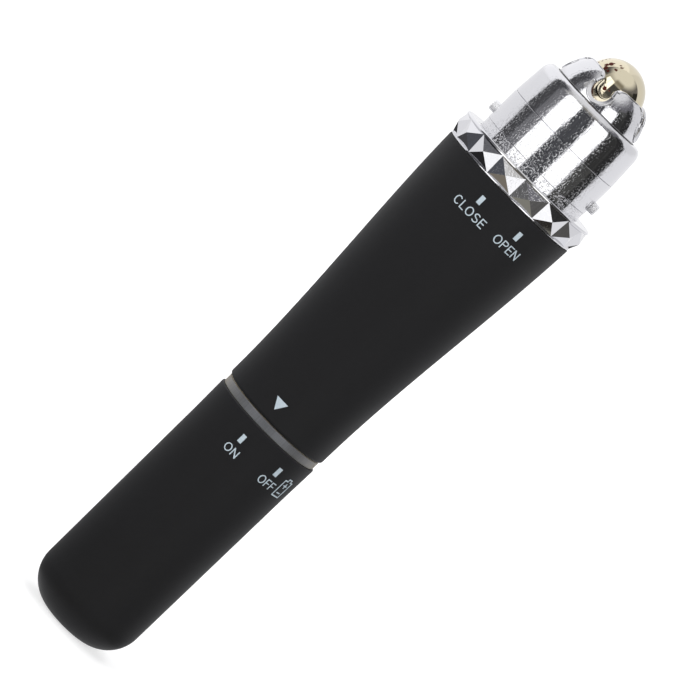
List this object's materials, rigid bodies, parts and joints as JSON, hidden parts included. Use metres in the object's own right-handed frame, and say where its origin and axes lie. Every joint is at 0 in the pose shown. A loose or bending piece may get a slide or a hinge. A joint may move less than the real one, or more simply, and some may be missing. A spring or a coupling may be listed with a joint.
{
  "type": "facial massager",
  "caption": "Pen-shaped battery facial massager: black soft-touch handle with a twist switch, faceted chrome ring, bayonet collar and a steel ball rolling in a pronged cage.",
  "frame": {"origin": "centre of the flat butt face, on the axis of the handle", "axes": "+Z along the handle from the butt to the massage ball; -Y is the front that carries the marks; +X is to the right seen from the front"},
  "size_m": [0.0308, 0.0308, 0.1404],
  "materials": {
    "soft_touch_black": "soft-touch lacquer over moulded ABS",
    "satin_grey_plastic": "satin",
    "chrome": "bright plated",
    "ball_nickel": "polished, warm nickel",
    "white_plastic": "moulded",
    "black_rubber": "moulded",
    "plated_steel": "nickel plated",
    "contact_brass": "stamped",
    "bronze": "sintered",
    "ferrite": "matt",
    "lead_insulation": "extruded",
    "cell_jacket": "plain printed film"
  },
  "bodies": {
    "grip": {"chassis": "white_plastic", "retaining_clip": "plated_steel", "battery_can": "cell_jacket", "battery_cap": "plated_steel", "positive_contact": "contact_brass", "switch_contact": "contact_brass", "motor_boot": "black_rubber", "motor_can": "plated_steel", "motor_magnets": "ferrite", "motor_end_bell": "white_plastic", "motor_terminals": "contact_brass", "motor_bush": "bronze", "motor_leads": "lead_insulation", "weight_cover": "white_plastic", "cover_screws": "plated_steel", "grip_body": "soft_touch_black", "bayonet_socket": "white_plastic"},
    "switch_rotor": {"switch_ring": "satin_grey_plastic", "sleeve_oring": "black_rubber"},
    "sleeve": {"battery_sleeve": "soft_touch_black", "negative_spring": "plated_steel", "contact_strip": "contact_brass"},
    "motor_rotor": {"motor_shaft": "plated_steel", "armature": "ferrite", "eccentric_weight": "plated_steel"},
    "head": {"facet_ring": "chrome", "head_base": "chrome", "head_oring": "black_rubber", "bayonet_collar": "chrome", "bayonet_pins": "chrome", "head_shell": "chrome", "seat_gasket": "black_rubber", "ball_seat": "white_plastic", "ball_cage": "chrome"},
    "ball": {"massage_ball": "ball_nickel"}
  },
  "joints": [
    {"name": "switch_turn", "type": "hinge", "parent": "grip", "child": "switch_rotor", "pos_m": [0, 0, 0.0514], "axis": [0, 0, -1], "range_deg": [0, 45]},
    {"name": "sleeve_pull", "type": "slide", "parent": "switch_rotor", "child": "sleeve", "axis": [0, 0, -1], "range_m": [0, 0.048]},
    {"name": "motor_spin", "type": "hinge", "parent": "grip", "child": "motor_rotor", "pos_m": [0, 0, 0.09], "axis": [0, 0, 1], "continuous": true},
    {"name": "head_turn", "type": "hinge", "parent": "grip", "child": "head", "pos_m": [0, 0, 0.1098], "axis": [0, 0, 1], "range_deg": [0, 35]},
    {"name": "ball_roll", "type": "hinge", "parent": "head", "child": "ball", "pos_m": [0, 0, 0.13442], "axis": [1, 0, 0], "continuous": true}
  ]
}
